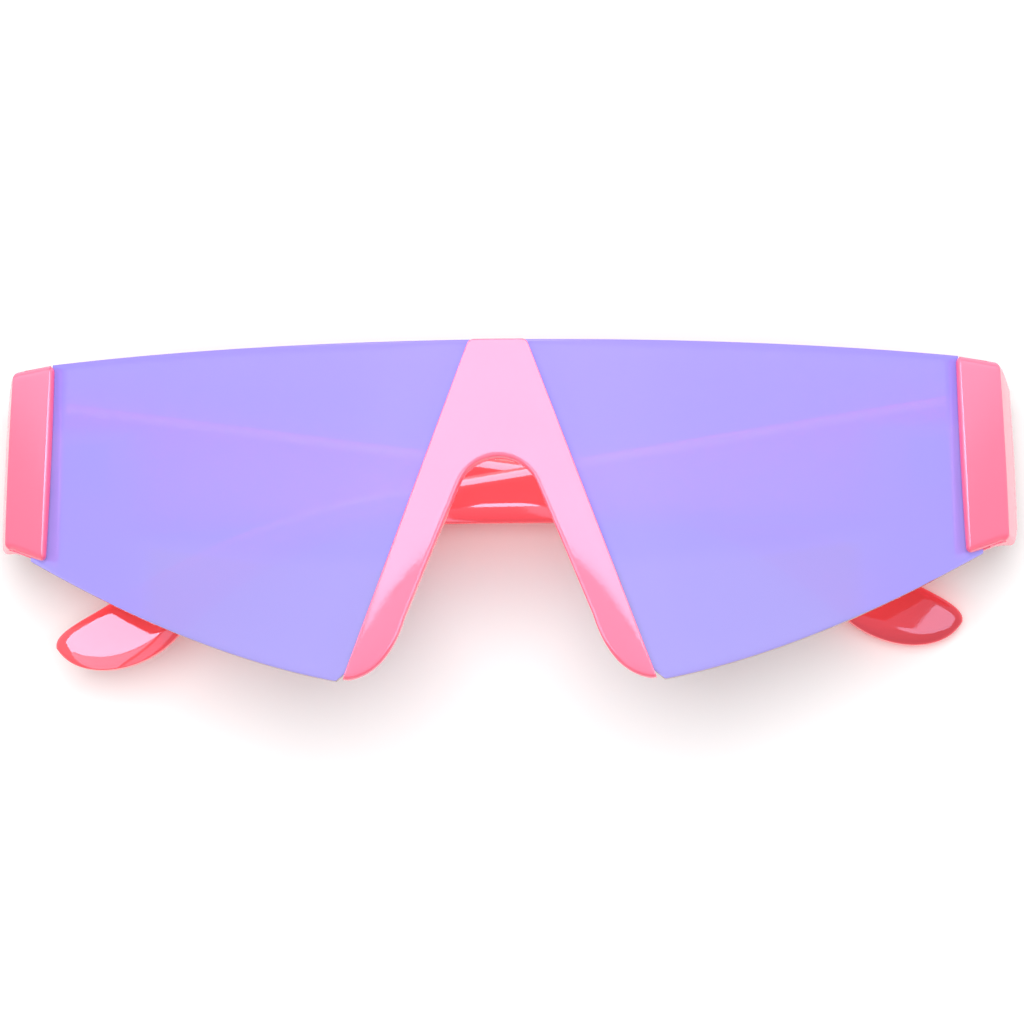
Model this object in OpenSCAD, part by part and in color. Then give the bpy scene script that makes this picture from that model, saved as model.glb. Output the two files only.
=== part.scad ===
// Shield sunglasses with folded arms, lying on their back with the lens up.
// Every piece is drawn in the frame of the front: X across, Y up the face and
// Z out of the lens, whose foremost point is at Z = 0. laid() then puts the whole
// object down as it lies, with the arms below and the origin under the middle.

/* [Lens] */
// Width of the lens between its two ends
lens_width = 142.8; // [139:0.2:145]
// Height of the lens in the middle
lens_height = 49.8; // [47:0.2:53]
// Radius of the cylinder that the lens wraps round
lens_wrap = 130; // [124:1:140]
// Thickness of the lens
lens_thickness = 2; // [1.6:0.1:2.4]
// Rise of the top edge in the middle
lens_crown = 0.3; // [0:0.1:1]
// Drop from the top edge to the lower outer corner
lens_corner_drop = 29.8; // [28:0.2:32]

/* [Bridge] */
// Width of the bridge at the top edge of the lens
bridge_top_width = 8.4; // [7:0.2:10]
// Width over the two feet of the bridge
bridge_foot_width = 45.6; // [44:0.2:48]
// Thickness of the bridge in front of the lens
bridge_thickness = 2.4; // [2:0.1:3]
// How far the inner edge of each foot of the bridge falls back
bridge_fall = 0.8; // [0:0.1:1]
// Rounding of the front edges of the bridge
bridge_edge = 0.8; // [0.4:0.1:1]
// Radius of the arch over the nose
arch_radius = 6.1; // [5.6:0.1:6.6]
// Drop from the top edge to the top of the arch
arch_drop = 17.6; // [16:0.2:19]
// Angle that each flank of the arch leans outwards
arch_spread = 22.5; // [21.5:0.5:23.5]

/* [Nose rest] */
// Depth of the pads behind the lens
pad_depth = 7.2; // [5:0.2:9]
// How far the back of a pad leans away from the nose
pad_splay = 3.2; // [2:0.2:4]
// Wall of a pad
pad_wall = 1.5; // [1.2:0.1:1.8]
// Thickness of the flange on the back of the lens
rest_flange = 1.4; // [1.2:0.1:1.8]

/* [End pieces] */
// Width of the plate in front of the lens
end_width = 6.9; // [6.4:0.1:7.4]
// Height of that plate at its inner edge
end_height = 29.8; // [28:0.2:30]
// Thickness of that plate
end_plate = 1.8; // [1.5:0.1:2.2]
// Thickness of the lip behind the lens
end_lip = 1.6; // [1.3:0.1:2]
// How far that lip reaches in beyond the plate
end_lip_reach = 1.5; // [0.5:0.1:2.5]
// Outward lean of the side towards the back
side_splay = 10.5; // [9:0.5:12]
// Inward lean of the plate towards the top
end_lean = 2.2; // [1:0.1:3]

/* [Arms] */
// Length of an arm from the hinge pin to the tip
arm_length = 139.6; // [136:0.2:140]
// Height of an arm at the hinge
arm_root_height = 21.8; // [21:0.1:22.4]
// Drop of the hook below the lower edge of the arm
hook_drop = 18.2; // [16:0.1:20]
// Thickness of an arm at the hinge
arm_root_thickness = 4.8; // [4.4:0.1:5.2]
// Thickness of an arm from its middle to its tip
arm_tip_thickness = 3.4; // [3:0.1:3.8]
// How far the arm bows in towards the head
arm_bow = 3; // [2.6:0.1:3.4]
// Rounding of the long edges of an arm
arm_edge = 1.5; // [1.2:0.1:1.6]

/* [Hinges] */
// Depth of the hinge pins behind the foremost point of the lens
pin_depth = 32.6; // [31:0.2:34]
// Distance between the two hinge pins
pin_spacing = 141; // [140.6:0.2:142]
// Radius of a knuckle
knuckle_radius = 1.7; // [1.6:0.05:1.8]
// Length of one knuckle
knuckle_length = 2.5; // [2.2:0.1:2.8]
// Radius of a hinge pin
pin_radius = 0.7; // [0.6:0.05:0.8]
// Thickness of a hinge leaf
leaf_thickness = 1; // [0.8:0.1:1.1]
// Length of the leaf on the end piece, from the pin
front_leaf_length = 5.4; // [5:0.1:5.5]
// Length of the leaf on the arm, from the pin
arm_leaf_length = 9; // [8:0.2:10]

/* [Fold] */
// Angle by which the upper arm, hinged on the left, falls short of a full fold
over_arm_tilt = 2.6; // [2.5:0.1:3.2]
// Angle by which the lower arm, hinged on the right, folds past square
under_arm_tilt = 1.5; // [1.3:0.1:2]
// Slack of each arm in its hinge, up on the left and down on the right
arm_lean = 0.8; // [0:0.1:0.8]
// Angle of the lens to the surface that the object lies on
rest_pitch = 6.75; // [6:0.05:7.5]

/* [Hidden] */

pink = [1, 0.3, 0.36];
violet = [0.7, 0.64, 1];
steel = [0.75, 0.76, 0.78];

// Running past a face in every cut
overrun = 1;
// Gap where one piece seats on another
seat_gap = 0.1;
// Radial clearance of a screw or pin in its hole
hole_gap = 0.05;

lens_top = lens_height / 2;
lens_foot = -lens_height / 2;
lens_end = lens_width / 2;
lens_corner = lens_top - lens_corner_drop;
end_beyond_lens = 3;
end_outer = lens_end + end_beyond_lens;
end_inner = end_outer - end_width;
lens_notch_gap = 1.2;
lens_steps = 20;
belly_across_share = 0.45;
belly_up_share = 0.22;
tab_inset = 0.5;
tab_drop = 2.4;

arch_y = lens_top - arch_drop - arch_radius;
bridge_foot_drop = 0.1;
bridge_top_drop = 0.3;
arch_flank = 24.6;
flare_reach_share = 0.3;
flare_out_share = 0.3;
flare_down_share = 0.9;
edge_width_share = 0.4;

screw_radius = 0.6;
screw_head_radius = 1.1;
screw_head_height = 0.7;
screw_crown_share = 0.8;
screw_driver_radius = 0.5;
screw_driver_depth = 0.35;
bridge_screw_share = 0.42;
bridge_screw_offset = 3.9;
bridge_screw_bite = 1.5;

pad_start_share = 0.45;
pad_full_share = 0.45;
pad_end_share = 0.82;
pad_face_share = 0.35;
pad_back_share = 0.25;
pad_edge = 0.5;
pad_fillet = 0.4;
rest_inner = 0.1;
rest_outer = 5.1;

end_corner_radius = 0.9;
end_top_drop = 1;
end_top_rise = 0.55;
side_middle_share = 0.5;
side_middle_bulge_share = 0.55;
side_top_drop = 2.2;
side_foot_rise = 2.7;
plate_foot_slope = 22.4;
lens_screw_inset = 2;
lens_screw_shares = [0.22, 0.62];
lens_screw_bite = 1.1;

pin_x = pin_spacing / 2;
// Half of the gap between the end piece and an opened arm
joint_gap = 0.15;
leaf_seat_gap = 0.2;
leaf_seat = knuckle_radius + leaf_seat_gap;
knuckle_gap = 0.1;
leaf_height = 3 * knuckle_length + 2 * knuckle_gap;
// Places of the leaf screws, as shares of the leaf's length and height
front_screw_shares = [[0.64, -0.29], [0.64, 0.29]];
arm_screw_shares = [[0.4, 0], [0.78, 0]];
leaf_screw_bite = 2;
pin_head_radius = 1.4;
pin_head_height = 0.7;

arm_foot = -0.3;
hinge_y = arm_foot + arm_root_height / 2;
arm_outer = leaf_seat + arm_root_thickness;
arm_bow_share = 0.65;
arm_edge_share = 0.94;
arm_thin_share = 0.625;
tip_round_power = 6;
tip_last_share = 0.985;
tip_station_power = 1.7;
// Points of the arm's two edges, as shares of its length, its root height and its hook
upper_edge_shares = [[0, 1, 0], [0.315, 0.69, 0], [0.63, 0.382, 0], [0.795, 0.22, 0],
    [0.945, 0, 0.478], [0.971, 0, 0.599], [1.002, 0, 0.698], [1, 0, 0.819]];
lower_edge_shares = [[0, 0, 0], [0.272, 0.133, 0], [0.602, 0.133, 0], [0.739, 0.133, 0],
    [0.868, 0, 0.747], [0.906, 0, 1.06], [0.978, 0, 1.115], [1, 0, 0.819]];

$fn = 48;

// Depth at X of a cylinder of this radius about the same axis as the lens
function sag(x, radius) = lens_wrap - sqrt(radius * radius - x * x);
function lerp(a, b, t) = a + (b - a) * t;
function curve3(a, b, c, t) = (1 - t) * (1 - t) * a + 2 * t * (1 - t) * b + t * t * c;
function curve4(a, b, c, d, t) = (1 - t) * curve3(a, b, c, t) + t * curve3(b, c, d, t);
function reversed(list) = [for (i = [len(list) - 1:-1:0]) list[i]];
function mirrored(p) = [-p[0], p[1]];

// A closed skin over rings of equally many points, with a flat cap on each end
module loft(rings) {
    n = len(rings[0]);
    last = len(rings) - 1;
    polyhedron(
        points = [for (ring = rings) each ring],
        faces = concat(
            [[for (j = [n - 1:-1:0]) j]],
            [for (i = [0:last - 1], j = [0:n - 1]) each [
                [i * n + j, i * n + (j + 1) % n, (i + 1) * n + j],
                [i * n + (j + 1) % n, (i + 1) * n + (j + 1) % n, (i + 1) * n + j]]],
            [[for (j = [0:n - 1]) last * n + j]]),
        convexity = 8);
}

// The object as it lies: pitched, lifted and centred by the places of its own points
module laid() {
    translate([0, row_shift, row_lift]) rotate([-rest_pitch, 0, 0]) children();
}

// What is drawn for the right side, on the right or on the left
module sided(side) {
    if (side > 0) children();
    else mirror([1, 0, 0]) children();
}

// Edge of the arch and of its flank, moved outwards by this gap
flank_dir = [sin(arch_spread), -cos(arch_spread)];
flank_out = [cos(arch_spread), sin(arch_spread)];
arch_centre = [0, arch_y];
function arch_point(angle, gap) = arch_centre + (arch_radius + gap) * [cos(angle), sin(angle)];
function flank_point(t, gap) = arch_centre + (arch_radius + gap) * flank_out
    + arch_flank * t * flank_dir;
function notch_half(gap) = concat(
    [for (i = [0:5]) arch_point(90 - (90 - arch_spread) * i / 6, gap)],
    [flank_point(0, gap), flank_point(1, gap)]);

// Right half of the lens outline, from the middle of the top edge round to the arch
function lens_top_y(x) = lens_top - lens_crown * x * x / (lens_end * lens_end);
// Its end is a lower tab, hidden in the slot of the end piece
tab_start = end_inner + tab_inset;
heel = [bridge_foot_width / 2 + lens_notch_gap, lens_foot];
lens_belly = [lerp(heel[0], lens_end, belly_across_share),
    lerp(lens_foot, lens_corner, belly_up_share)];
lens_half = concat(
    [for (i = [0:lens_steps]) let (x = tab_start * i / lens_steps) [x, lens_top_y(x)]],
    [[tab_start + tab_inset, lens_top - tab_drop], [lens_end, lens_top - tab_drop]],
    [for (i = [0:lens_steps]) curve3([lens_end, lens_corner], lens_belly, heel, i / lens_steps)],
    reversed(notch_half(lens_notch_gap)));

module lens_shell(outer, inner) {
    translate([0, lens_height, -lens_wrap]) rotate([90, 0, 0]) difference() {
        cylinder(r = outer, h = 2 * lens_height, $fn = 180);
        translate([0, 0, -overrun])
            cylinder(r = inner, h = 2 * lens_height + 2 * overrun, $fn = 180);
    }
}

module lens_outline() {
    polygon(concat(lens_half, reversed([for (p = lens_half) if (p[0] > 0) mirrored(p)])));
}

module lens() {
    color(violet, 0.9) laid() difference() {
        intersection() {
            lens_shell(lens_wrap, lens_wrap - lens_thickness);
            translate([0, 0, -lens_wrap / 2]) linear_extrude(lens_wrap) lens_outline();
        }
        for (side = [-1, 1]) sided(side) {
            for (share = lens_screw_shares)
                lens_screw_place(share) screw_hole(screw_radius + 2 * hole_gap);
            bridge_screw_place() screw_hole(screw_radius + 2 * hole_gap);
        }
    }
}

bridge_corner = [bridge_top_width / 2, lens_top - bridge_top_drop];
bridge_foot = [bridge_foot_width / 2, lens_foot + bridge_foot_drop];
flare_start = flank_point(1 - flare_reach_share / 2, 0);
flare_end = [bridge_foot[0] - bridge_edge, lens_foot];
flare_turn = [lerp(flare_start[0], flare_end[0], flare_out_share),
    lerp(flare_start[1], flare_end[1], flare_down_share)];

// Share of the outer side that lies straight across from a point of the arch
side_line = bridge_foot - bridge_corner;
function across(p) = ((p - bridge_corner) * side_line) / (side_line * side_line);
flank_start_share = across(flank_point(0, 0));

// Pairs of an inner and an outer point, from the middle of the arch to the right foot
bridge_pairs = concat(
    [for (i = [0:1]) [arch_point(90 - (90 - arch_spread) * i / 7, 0),
        [bridge_corner[0] * i / 2, bridge_corner[1]]]],
    [for (i = [0:5]) [arch_point(90 - (90 - arch_spread) * (i + 2) / 7, 0),
        bridge_corner + side_line * flank_start_share * i / 5]],
    [for (i = [1:5]) let (p = lerp(flank_point(0, 0), flare_start, i / 5))
        [p, bridge_corner + side_line * across(p)]],
    [for (i = [1:5]) let (p = curve3(flare_start, flare_turn, flare_end, i / 5))
        [p, bridge_corner + side_line * lerp(across(flare_start), 1, i / 5)]]);
bridge_strip = concat(
    reversed([for (pair = bridge_pairs) if (pair[1][0] > 0) [mirrored(pair[0]), mirrored(pair[1])]]),
    bridge_pairs);

// A point over the lens at this height above its front
function over_lens(p, height) = [p[0], p[1], height - sag(p[0], lens_wrap)];

// How far the front falls back beside an inner point of the bridge
function fall(inner) = bridge_fall * pow(max(0, (arch_y - inner[1]) / (arch_y - lens_foot)), 2);

// Cross-section from the inner edge to the outer edge, its two front edges rounded
function bridge_ring(inner, outer) = let (
    span = norm(outer - inner),
    dir = (outer - inner) / span,
    edge = min(bridge_edge, edge_width_share * span),
    low = bridge_thickness - fall(inner) - edge,
    top = bridge_thickness - edge)
    concat(
        [for (k = [0:2]) over_lens(lerp(outer, inner, k / 2), seat_gap)],
        [for (a = [0:30:90]) over_lens(inner + dir * edge * (1 - cos(a)), low + edge * sin(a))],
        [over_lens(lerp(inner, outer, 0.5), bridge_thickness - fall(inner) / 4)],
        [for (a = [90:-30:0]) over_lens(outer - dir * edge * (1 - cos(a)), top + edge * sin(a))]);

module bridge() {
    color(pink) laid() difference() {
        loft([for (pair = bridge_strip) bridge_ring(pair[0], pair[1])]);
        for (side = [-1, 1]) sided(side) bridge_screw_place()
            translate([0, 0, -lens_thickness])
                cylinder(r = screw_radius + hole_gap, h = lens_thickness + bridge_screw_bite);
    }
}

// How far a pad has grown at a place along the path, from the arch to the foot
function pad_growth(t) = t <= 0 ? pad_start_share
    : lerp(pad_start_share, 1, min(1, t / pad_full_share));
function behind_lens(p, depth) = [p[0], p[1],
    -sag(p[0], lens_wrap - lens_thickness) - seat_gap - depth];

// Round the arch a lip of the rest lines the notch in the lens, up to the bridge
rest_lip = lens_thickness + seat_gap;
function rest_ring(point, out, grown) = let (depth = pad_depth * grown, splay = pad_splay * grown)
    [for (q = [[rest_outer, 0], [rest_outer, rest_flange],
        [rest_inner + pad_wall + pad_fillet, rest_flange],
        [rest_inner + pad_wall, rest_flange + pad_fillet],
        [rest_inner + pad_wall + splay * pad_back_share, depth / 2],
        [rest_inner + splay + pad_wall, depth - pad_edge],
        [rest_inner + splay + pad_wall - pad_edge, depth],
        [rest_inner + splay + pad_edge, depth], [rest_inner + splay, depth - pad_edge],
        [rest_inner + splay * pad_face_share, depth / 2], [rest_inner, 0],
        [rest_inner, -rest_lip], [lens_notch_gap - seat_gap, -rest_lip],
        [lens_notch_gap - seat_gap, 0]])
        behind_lens(point + out * q[0], q[1])];
rest_half = concat(
    [for (i = [0:6]) let (a = 90 - (90 - arch_spread) * i / 6)
        rest_ring(arch_point(a, 0), [cos(a), sin(a)], pad_growth(0))],
    [for (i = [1:8]) let (t = pad_end_share * i / 8)
        rest_ring(flank_point(t, 0), flank_out, pad_growth(t))]);
rest_other_half = reversed([for (i = [1:len(rest_half) - 1])
    [for (p = rest_half[i]) [-p[0], p[1], p[2]]]]);

module nose_rest() {
    color(pink) laid() difference() {
        loft(concat(rest_other_half, rest_half));
        for (side = [-1, 1]) sided(side) bridge_screw_place() {
            translate([0, 0, bridge_screw_seat - overrun])
                cylinder(r = screw_radius + hole_gap, h = lens_wrap);
            translate([0, 0, bridge_screw_seat - pad_depth])
                cylinder(r = screw_head_radius + hole_gap, h = pad_depth);
        }
    }
}

// A round-headed screw with its head's seat at the origin and its point towards +Z
module screw(length) {
    difference() {
        union() {
            cylinder(r = screw_radius, h = length);
            translate([0, 0, -screw_head_height])
                cylinder(r1 = screw_crown_share * screw_head_radius, r2 = screw_head_radius,
                    h = screw_head_height);
        }
        translate([0, 0, -screw_head_height - overrun])
            cylinder(r = screw_driver_radius, h = overrun + screw_driver_depth, $fn = 6);
    }
}

module screw_hole(radius) {
    translate([0, 0, -lens_wrap / 2]) cylinder(r = radius, h = lens_wrap);
}

bridge_screw_xy = flank_point(bridge_screw_share, bridge_screw_offset);
bridge_screw_seat = -sag(bridge_screw_xy[0], lens_wrap - lens_thickness) - seat_gap
    - rest_flange + pad_fillet;
bridge_screw_length = bridge_screw_bite - sag(bridge_screw_xy[0], lens_wrap)
    - bridge_screw_seat - seat_gap;

module bridge_screw_place() {
    translate([bridge_screw_xy[0], bridge_screw_xy[1], 0]) children();
}

module bridge_screws() {
    color(steel) laid() for (side = [-1, 1]) sided(side)
        bridge_screw_place() translate([0, 0, bridge_screw_seat]) screw(bridge_screw_length);
}

lens_screw_x = lens_end - lens_screw_inset;
plate_angle = asin(lens_screw_x / lens_wrap);
plate_top = lens_top - end_top_drop;
plate_foot = plate_top - end_height;

// Place of a lens screw, square to the lens
module lens_screw_place(share) {
    y = plate_top - end_height * share;
    translate([0, y, -lens_wrap]) rotate([0, plate_angle, 0])
        translate([0, 0, lens_wrap]) children();
}

// The end piece seen from above: plate, side and lip, rounded at its outer corners
front_radius = lens_wrap + end_plate;
lip_radius = lens_wrap - lens_thickness - seat_gap - end_lip;
side_back = pin_depth - joint_gap;
side_face = pin_x + leaf_seat;
side_run = side_back - sag(end_outer, front_radius);
side_bulge = side_run * tan(side_splay);
module end_profile() {
    polygon(concat(
        [for (i = [0:8]) let (a = 180 - 90 * i / 8, r = end_corner_radius)
            [end_inner + r + r * cos(a), r - r * sin(a) + sag(end_inner, front_radius)]],
        [for (i = [1:6]) let (x = lerp(end_inner + end_corner_radius,
            end_outer - end_corner_radius, i / 6)) [x, sag(x, front_radius)]],
        [for (i = [1:8]) let (a = 90 - 90 * i / 8, r = end_corner_radius)
            [end_outer - r + r * cos(a), sag(end_outer, front_radius) + r - r * sin(a)]],
        [[end_outer + side_bulge * side_middle_bulge_share,
            sag(end_outer, front_radius) + side_run * side_middle_share],
            [end_outer + side_bulge, side_back], [side_face, side_back]],
        [[side_face, sag(side_face, lip_radius)]],
        [for (i = [0:6]) let (x = lerp(side_face - end_lip, end_inner - end_lip_reach, i / 6))
            [x, sag(x, lip_radius)]],
        [[end_inner - end_lip_reach, sag(end_inner, lens_wrap - lens_thickness) - end_lip_reach],
            [end_inner, sag(end_inner, lens_wrap)]]));
}

// The same piece seen from the side: it narrows towards the hinge
module end_side_view() {
    front = sag(end_outer, front_radius);
    polygon([[0, plate_top + end_top_rise], [front, plate_top + end_top_rise],
        [side_back + overrun, plate_top - side_top_drop],
        [side_back + overrun, plate_foot + end_foot_rise + side_foot_rise],
        [front + end_plate, plate_foot], [0, plate_foot]]);
}

// And from the front: the top falls and the foot rises outwards
end_foot_rise = end_width * tan(plate_foot_slope);
module end_front_view() {
    polygon([[end_inner - 2 * end_lip_reach, plate_top + end_top_rise],
        [end_inner, plate_top + end_top_rise], [end_outer, plate_top],
        [end_outer + 2 * side_bulge, plate_top],
        [end_outer + 2 * side_bulge, plate_foot + end_foot_rise],
        [end_outer, plate_foot + end_foot_rise],
        [end_inner, plate_foot], [end_inner - 2 * end_lip_reach, plate_foot + end_foot_rise / 2]]);
}

module end_piece(side) {
    color(pink) laid() sided(side) difference() {
        intersection() {
            translate([end_outer, plate_top, 0]) rotate([0, 0, end_lean])
                translate([-end_outer, -plate_top - lens_height, 0])
                    rotate([-90, 0, 0]) linear_extrude(2 * lens_height) end_profile();
            translate([0, 0, -lens_wrap]) linear_extrude(2 * lens_wrap) end_front_view();
            rotate([0, 90, 0]) linear_extrude(lens_wrap) end_side_view();
        }
        lens_slot();
        hinge_room();
        for (share = lens_screw_shares) lens_screw_place(share) {
            translate([0, 0, -lens_wrap / 4])
                cylinder(r = screw_radius + hole_gap, h = lens_wrap / 4 + lens_screw_bite);
            translate([0, 0, lens_screw_seat - lens_height])
                cylinder(r = screw_head_radius + hole_gap, h = lens_height);
        }
        at_pin() leaf_screw_places(front_leaf_length, front_screw_shares)
            cylinder(r = screw_radius + hole_gap, h = leaf_screw_bite + leaf_thickness + seat_gap);
    }
}

// The slot that takes the end of the lens
module lens_slot() {
    intersection() {
        lens_shell(lens_wrap + seat_gap, lens_wrap - lens_thickness - seat_gap);
        translate([0, -lens_height, -lens_wrap]) cube([lens_end + seat_gap, 2 * lens_height, lens_wrap]);
    }
}

// The flat inner side of the end piece, where the leaf lies, and its square back
module hinge_room() {
    lip_back = sag(side_face, lip_radius);
    translate([side_face - lens_end, -lens_height, -side_back - lens_height])
        cube([lens_end, 2 * lens_height, side_back + lens_height - lip_back]);
    translate([0, -lens_height, -side_back - lens_height])
        cube([lens_width, 2 * lens_height, lens_height]);
}

lens_screw_seat = -lens_thickness - seat_gap - end_lip + screw_head_height;
module lens_screws(side) {
    color(steel) laid() sided(side) for (share = lens_screw_shares) lens_screw_place(share)
        translate([0, 0, lens_screw_seat]) screw(lens_screw_bite - lens_screw_seat - seat_gap);
}

// The hinge frame: the pin along Y, the first axis outwards and the third backwards
module at_pin() {
    translate([pin_x, hinge_y, -pin_depth]) children();
}

// One knuckle, counted from the lower one up
module knuckle(place) {
    y = (place - 1.5) * knuckle_length + (place - 1) * knuckle_gap;
    translate([0, y, 0]) rotate([-90, 0, 0]) cylinder(r = knuckle_radius, h = knuckle_length);
}

module pin_bore(radius) {
    translate([0, leaf_height, 0]) rotate([90, 0, 0]) cylinder(r = radius, h = 2 * leaf_height);
}

// Room for the knuckles of the other leaf
module knuckle_room(place) {
    y = (place - 1.5) * knuckle_length + (place - 1) * knuckle_gap - knuckle_gap;
    translate([0, y, 0]) rotate([-90, 0, 0])
        cylinder(r = knuckle_radius + knuckle_gap, h = knuckle_length + 2 * knuckle_gap);
}

// A leaf that runs from the pin towards +Z, its back face at leaf_seat
module leaf(length, places, rooms, screw_shares) {
    difference() {
        union() {
            difference() {
                translate([leaf_seat - leaf_thickness, -leaf_height / 2, joint_gap])
                    cube([leaf_thickness, leaf_height, length]);
                for (place = rooms) knuckle_room(place);
            }
            for (place = places) leaf_web(place);
            for (place = places) knuckle(place);
        }
        pin_bore(pin_radius + hole_gap);
        leaf_screw_places(length, screw_shares) translate([0, 0, -leaf_thickness])
            cylinder(r = screw_radius + hole_gap, h = 3 * leaf_thickness);
    }
}

// The curl that joins a knuckle to its leaf
module leaf_web(place) {
    y = (place - 1.5) * knuckle_length + (place - 1) * knuckle_gap;
    translate([leaf_seat - leaf_thickness, y, 0])
        cube([leaf_thickness, knuckle_length, 2 * joint_gap]);
}

// The leaf screws go outwards through the leaf, their heads inside
module leaf_screw_places(length, screw_shares) {
    for (share = screw_shares)
        translate([leaf_seat - leaf_thickness, leaf_height * share[1],
            length * share[0] + joint_gap]) rotate([0, 90, 0]) children();
}

module front_hinge(side) {
    color(steel) laid() sided(side) at_pin()
        leaf(front_leaf_length, [0, 2], [1], front_screw_shares);
}

module front_leaf_screws(side) {
    color(steel) laid() sided(side) at_pin()
        leaf_screw_places(front_leaf_length, front_screw_shares)
            screw(leaf_thickness + leaf_screw_bite);
}

module hinge_screw(side) {
    half = leaf_height / 2;
    color(steel) laid() sided(side) at_pin() rotate([-90, 0, 0]) difference() {
        union() {
            translate([0, 0, -half]) cylinder(r = pin_radius, h = 2 * half);
            translate([0, 0, half]) cylinder(r = pin_head_radius, h = pin_head_height);
        }
        translate([0, 0, half + pin_head_height / 2])
            cylinder(r = screw_driver_radius, h = pin_head_height, $fn = 6);
    }
}

// The frame of a folded arm: first axis outwards, third along the arm to its tip
module folded(side) {
    tilt = side > 0 ? under_arm_tilt : -over_arm_tilt;
    lean = side > 0 ? -arm_lean : arm_lean;
    sided(side) at_pin() rotate([0, tilt, 0]) rotate([0, 0, -lean])
        rotate([0, 90, 0]) mirror([0, 0, 1]) children();
}

function edge_point(shares) = [arm_length * shares[0],
    arm_root_height * (shares[1] - 0.5) - hook_drop * shares[2]];
function edge_curve(table, u) = let (p = [for (shares = table) edge_point(shares)])
    u < 1 ? curve3(p[0], p[1], p[2], u)
    : u < 2 ? curve3(p[2], p[3], p[4], u - 1)
    : curve4(p[4], p[5], p[6], p[7], u - 2);

// Place of the outer face and thickness at a share of the arm's length
function outer_face(a) = arm_outer - arm_bow * sin(90 * min(1, a / arm_bow_share));
function thickness(a) = lerp(arm_root_thickness, arm_tip_thickness, 
    min(1, a / arm_thin_share));

// A cross-section is a flat bar between the two edges, with four rounded corners
arm_corners = [[1, 1, 0], [-1, 1, 90], [-1, -1, 180], [1, -1, 270]];
function arm_ring(u) = let (
    top = edge_curve(upper_edge_shares, u),
    foot = edge_curve(lower_edge_shares, u),
    middle = (top + foot) / 2,
    half = norm(top - foot) / 2,
    upwards = (top - middle) / half,
    a = middle[0] / arm_length,
    thin = u < 2 ? 1 : sqrt(1 - pow(u - 2, tip_round_power)),
    thick = thickness(a) * thin,
    centre = outer_face(a) - thickness(a) / 2,
    edge = min(arm_edge, arm_edge_share * thick / 2, arm_edge_share * half))
    [for (corner = arm_corners, i = [0:5]) let (
        turn = corner[2] + 90 * i / 5,
        p = middle + upwards * (corner[0] * (half - edge) + edge * cos(turn)))
        [centre + corner[1] * (thick / 2 - edge) + edge * sin(turn), p[1], p[0]]];
arm_stations = concat([for (i = [0:7]) i / 8], [for (i = [0:11]) 1 + i / 12],
    [for (i = [0:12]) 2 + (1 - pow(1 - i / 12, tip_station_power)) * tip_last_share]);
arm_rings = [for (u = arm_stations) arm_ring(u)];

// The lowest and furthest places of the arms, which carry the object where it lies
function placed(q, side) = let (
    tilt = side > 0 ? -under_arm_tilt : over_arm_tilt,
    lean = side > 0 ? -arm_lean : arm_lean,
    along = q[2] * cos(lean) - q[1] * sin(lean),
    up = q[2] * sin(lean) + q[1] * cos(lean),
    back = q[0] * cos(tilt) + along * sin(tilt))
    [0, hinge_y + up, -pin_depth - back];
function laid_y(p) = p[1] * cos(rest_pitch) + p[2] * sin(rest_pitch);
function laid_z(p) = p[2] * cos(rest_pitch) - p[1] * sin(rest_pitch);
arm_places = [for (side = [-1, 1], ring = arm_rings, q = ring) placed(q, side)];
row_lift = -min([for (p = arm_places) laid_z(p)]);
highest_y = max(laid_y([0, lens_top, 0]),
    laid_y([0, bridge_corner[1], bridge_thickness - bridge_edge]));
lowest_y = min(concat([laid_y([0, lens_foot, -lens_thickness - sag(heel[0], lens_wrap)])],
    [for (p = arm_places) laid_y(p)]));
row_shift = -(highest_y + lowest_y) / 2;

module arm(side) {
    color(pink) laid() folded(side) difference() {
        loft(arm_rings);
        translate([-lens_end, -lens_height, joint_gap - lens_height])
            cube([lens_width, 2 * lens_height, lens_height]);
        translate([-lens_end, -leaf_height / 2 - seat_gap, 0])
            cube([lens_end + leaf_seat, leaf_height + 2 * seat_gap,
                arm_leaf_length + joint_gap + seat_gap]);
        leaf_screw_places(arm_leaf_length, arm_screw_shares)
            cylinder(r = screw_radius + hole_gap, h = leaf_screw_bite + leaf_thickness + seat_gap);
    }
}

module arm_hinge(side) {
    color(steel) laid() folded(side) leaf(arm_leaf_length, [1], [0, 2], arm_screw_shares);
}

module arm_leaf_screws(side) {
    color(steel) laid() folded(side) leaf_screw_places(arm_leaf_length, arm_screw_shares)
        screw(leaf_thickness + leaf_screw_bite);
}

lens();
bridge();
nose_rest();
bridge_screws();
end_piece(-1);  // end_piece_left
end_piece(1);  // end_piece_right
lens_screws(-1);  // lens_screws_left
lens_screws(1);  // lens_screws_right
front_hinge(-1);  // front_hinge_left
front_hinge(1);  // front_hinge_right
front_leaf_screws(-1);  // front_leaf_screws_left
front_leaf_screws(1);  // front_leaf_screws_right
hinge_screw(-1);  // hinge_screw_left
hinge_screw(1);  // hinge_screw_right
arm_hinge(-1);  // arm_hinge_left
arm_hinge(1);  // arm_hinge_right
arm_leaf_screws(-1);  // arm_leaf_screws_left
arm_leaf_screws(1);  // arm_leaf_screws_right
arm(-1);  // arm_left
arm(1);  // arm_right
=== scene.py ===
# Shield sunglasses lying folded on a white table, seen straight from above.
# The moulded pieces are drawn here as fine surfaces in the frame of the front
# (mm: x across, y up the face, z out of the lens) and laid down like the CAD.
import math

import bpy
import bmesh
import numpy as np
from mathutils import Matrix, Vector, geometry


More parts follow.
